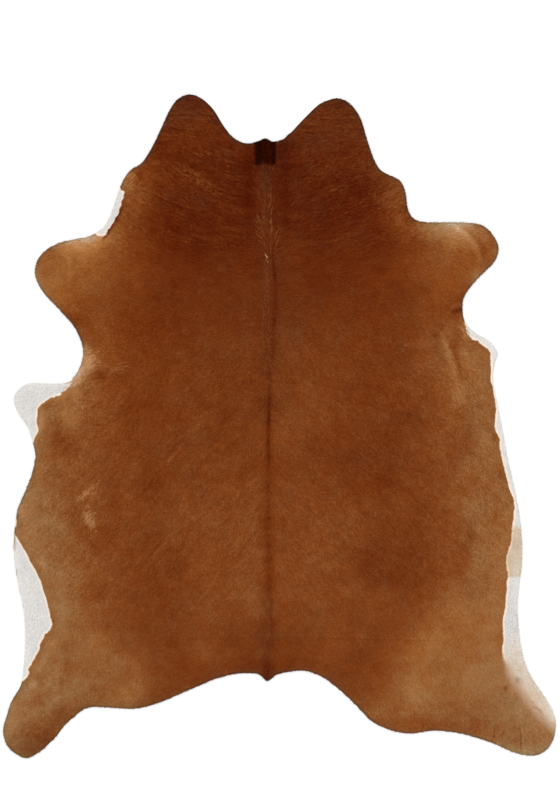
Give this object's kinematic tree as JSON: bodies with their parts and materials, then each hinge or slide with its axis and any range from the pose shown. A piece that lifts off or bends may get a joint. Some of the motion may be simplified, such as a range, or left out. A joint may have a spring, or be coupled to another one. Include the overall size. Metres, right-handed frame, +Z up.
{
  "type": "cowhide rug",
  "caption": "Whole brown and white cowhide, hair side up, lying flat as a floor rug, with neck, foreleg, flank, hind leg and tail shapes in its outline.",
  "frame": {"origin": "centre of the hide's bounding box, on the floor it lies on", "axes": "+Z up, +Y along the spine towards the neck, +X across the hide towards its right side as seen from above"},
  "size_m": [1.883, 2.26, 0.0054],
  "materials": {
    "hide": "short lying hair, matt with a slight sheen"
  },
  "bodies": {
    "root": {"cowhide": "hide"}
  },
  "joints": []
}
